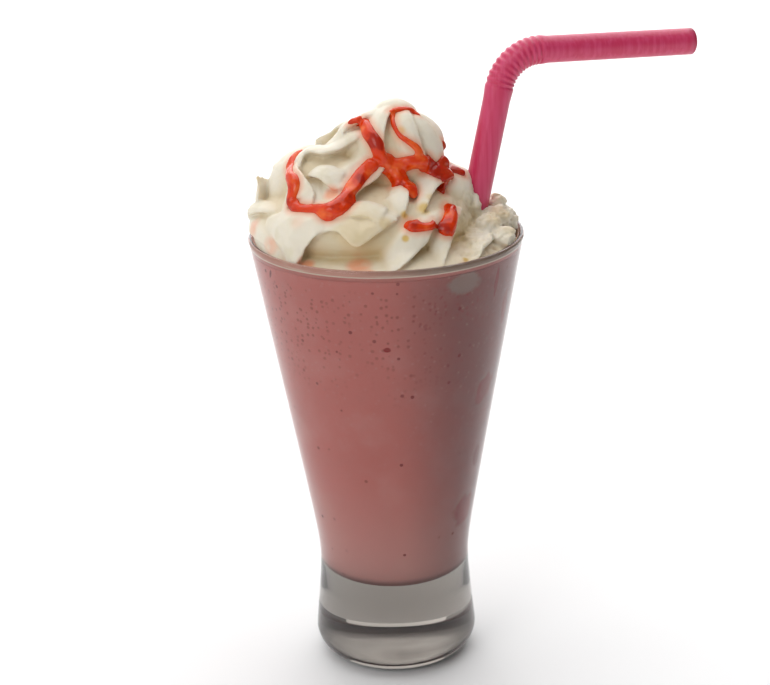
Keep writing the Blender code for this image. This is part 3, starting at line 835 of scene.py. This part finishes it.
# Straw. A wide drinking straw of pink polypropylene, extruded as a tube, with a corrugation rolled into
# it where it bends. It stands in the drink and leans to one side of the cream.
STRAW_RADIUS = 4.0 * MM
STRAW_WALL = 0.3 * MM
STRAW_FOOT = Vector((3.0, -3.0, 34.0)) * MM
STRAW_ELBOW = Vector((36.4, 4.4, 188.0)) * MM
STRAW_TIP = Vector((93.46, 28.0, 185.0)) * MM
BEND_RADIUS = 12.5 * MM
BEND_RIDGES = 11
RIDGE_HEIGHT = 0.35 * MM
RIDGE_RINGS = 8
LOWER_LEG_RINGS = 40
UPPER_LEG_RINGS = 20
STRAW_SIDES = 64


def straw_rings(bm, route, radii):
    """Rings of vertices round the straw's route, carried along it without twisting."""
    rings = []
    side = Vector((0, 1, 0))
    for i, point in enumerate(route):
        ahead = route[min(i + 1, len(route) - 1)] - route[max(i - 1, 0)]
        ahead.normalize()
        side = (side - ahead * side.dot(ahead)).normalized()
        other = ahead.cross(side)
        ring = []
        for k in range(STRAW_SIDES):
            angle = 2 * math.pi * k / STRAW_SIDES
            offset = side * math.cos(angle) + other * math.sin(angle)
            ring.append(bm.verts.new(point + offset * radii[i]))
        rings.append(ring)
    return rings


down = (STRAW_FOOT - STRAW_ELBOW).normalized()
out = (STRAW_TIP - STRAW_ELBOW).normalized()
half_turn = (math.pi - down.angle(out)) / 2
reach = BEND_RADIUS * math.tan(half_turn)
bend_centre = STRAW_ELBOW + (down + out).normalized() * (BEND_RADIUS / math.cos(half_turn))
bend_start = STRAW_ELBOW + down * reach - bend_centre
bend_axis = bend_start.cross(STRAW_ELBOW + out * reach - bend_centre).normalized()
route = []
radii = []
for i in range(LOWER_LEG_RINGS):
    route.append(STRAW_FOOT.lerp(STRAW_ELBOW + down * reach, i / LOWER_LEG_RINGS))
    radii.append(STRAW_RADIUS)
for i in range(BEND_RIDGES * RIDGE_RINGS + 1):
    share = i / (BEND_RIDGES * RIDGE_RINGS)
    turn = Matrix.Rotation(2 * half_turn * share, 3, bend_axis)
    wave = 0.5 + 0.5 * math.cos(2 * math.pi * i / RIDGE_RINGS)
    route.append(bend_centre + turn @ bend_start)
    radii.append(STRAW_RADIUS + RIDGE_HEIGHT * (wave - 0.2))
for i in range(1, UPPER_LEG_RINGS + 1):
    route.append((STRAW_ELBOW + out * reach).lerp(STRAW_TIP, i / UPPER_LEG_RINGS))
    radii.append(STRAW_RADIUS)
bm = bmesh.new()
outer = straw_rings(bm, route, radii)
inner = straw_rings(bm, route, [radius - STRAW_WALL for radius in radii])
join(bm, outer + inner[::-1] + outer[:1])

# Extruded polypropylene: an even warm pink with faint lengthwise die lines, satin, IOR 1.49.
STRAW_PINK = "#c8325a"
STRAW_PALE = "#d0446e"
DIE_LINE_WIDTH = 1.1                # drawn coarser than real ones, which would not show
DIE_LINE_LENGTH = 40.0
straw_material, tree, shader = new_material("Polypropylene, extruded, pink")
where = node(tree, "ShaderNodeTexCoord").outputs["Object"]
lines = node(tree, "ShaderNodeMapping", {
    "Vector": where,
    "Scale": (1000 / DIE_LINE_WIDTH, 1000 / DIE_LINE_WIDTH, 1000 / DIE_LINE_LENGTH),
})
drawn = node(tree, "ShaderNodeTexNoise", {"Vector": lines, "Scale": 1.0, "Detail": 2.0})
colour = layer(tree, linear(STRAW_PINK), STRAW_PALE, 1.0, (drawn, 0.35, 0.7))
satin = {"Value": drawn, "From Min": 0.3, "From Max": 0.7, "To Min": 0.32, "To Max": 0.42}
set_sockets(tree, shader, {
    "Base Color": colour,
    "Roughness": node(tree, "ShaderNodeMapRange", satin),
    "IOR": 1.49,
    "Subsurface Weight": 0.05,
    "Subsurface Radius": (1.0, 0.3, 0.4),
    "Subsurface Scale": 1.0 * MM,
})
add_piece("drinking_straw", mesh_from(bm, "drinking_straw"), straw_material, "straw")


# Studio. A plain pale floor under soft light: a key box in front on the left, a wide one overhead, one
# behind the drink, and a sky that is brighter on the left.
FLOOR_HALF_SIZE = 6.0
floor_mesh = bpy.data.meshes.new("floor")
bm = bmesh.new()
bmesh.ops.create_grid(bm, x_segments=1, y_segments=1, size=FLOOR_HALF_SIZE)
bm.to_mesh(floor_mesh)
bm.free()
floor_material, tree, shader = new_material("Matt white paper")
set_sockets(tree, shader, {"Base Color": linear("#f6f6f6"), "Roughness": 0.9})
floor_mesh.materials.append(floor_material)
floor = bpy.data.objects.new("floor", floor_mesh)
bpy.context.scene.collection.objects.link(floor)


def soft_light(name, place, aim, size, power):
    """A square soft box at a place, facing a point."""
    data = bpy.data.lights.new(name, "AREA")
    data.size = size
    data.energy = power
    light = bpy.data.objects.new(name, data)
    light.location = place
    light.rotation_euler = (Vector(aim) - Vector(place)).to_track_quat("-Z", "Y").to_euler()
    bpy.context.scene.collection.objects.link(light)


GLASS_MIDDLE = (0.0, 0.0, 0.12)
soft_light("key", (-1.0, -1.3, 0.9), GLASS_MIDDLE, 0.9, 5.6)
soft_light("top", (0.1, 0.9, 1.7), (0.0, 0.55, 0.0), 2.4, 30.0)
soft_light("backdrop", (0.0, 2.2, 0.6), GLASS_MIDDLE, 2.4, 27.0)
SKY_LEFT = 0.78
SKY_RIGHT = 0.15
world = bpy.data.worlds.new("studio")
world.use_nodes = True
bpy.context.scene.world = world
sky = world.node_tree
direction = node(sky, "ShaderNodeSeparateXYZ", {"Vector": node(sky, "ShaderNodeTexCoord").outputs["Generated"]})
sockets = {"Value": direction, "From Min": -0.7, "From Max": 0.9, "To Min": SKY_LEFT, "To Max": SKY_RIGHT}
brightness = node(sky, "ShaderNodeMapRange", sockets, interpolation_type="SMOOTHSTEP")
set_sockets(sky, sky.nodes["Background"], {"Color": linear("#ffffff"), "Strength": brightness})
bpy.context.scene.view_settings.view_transform = "Standard"
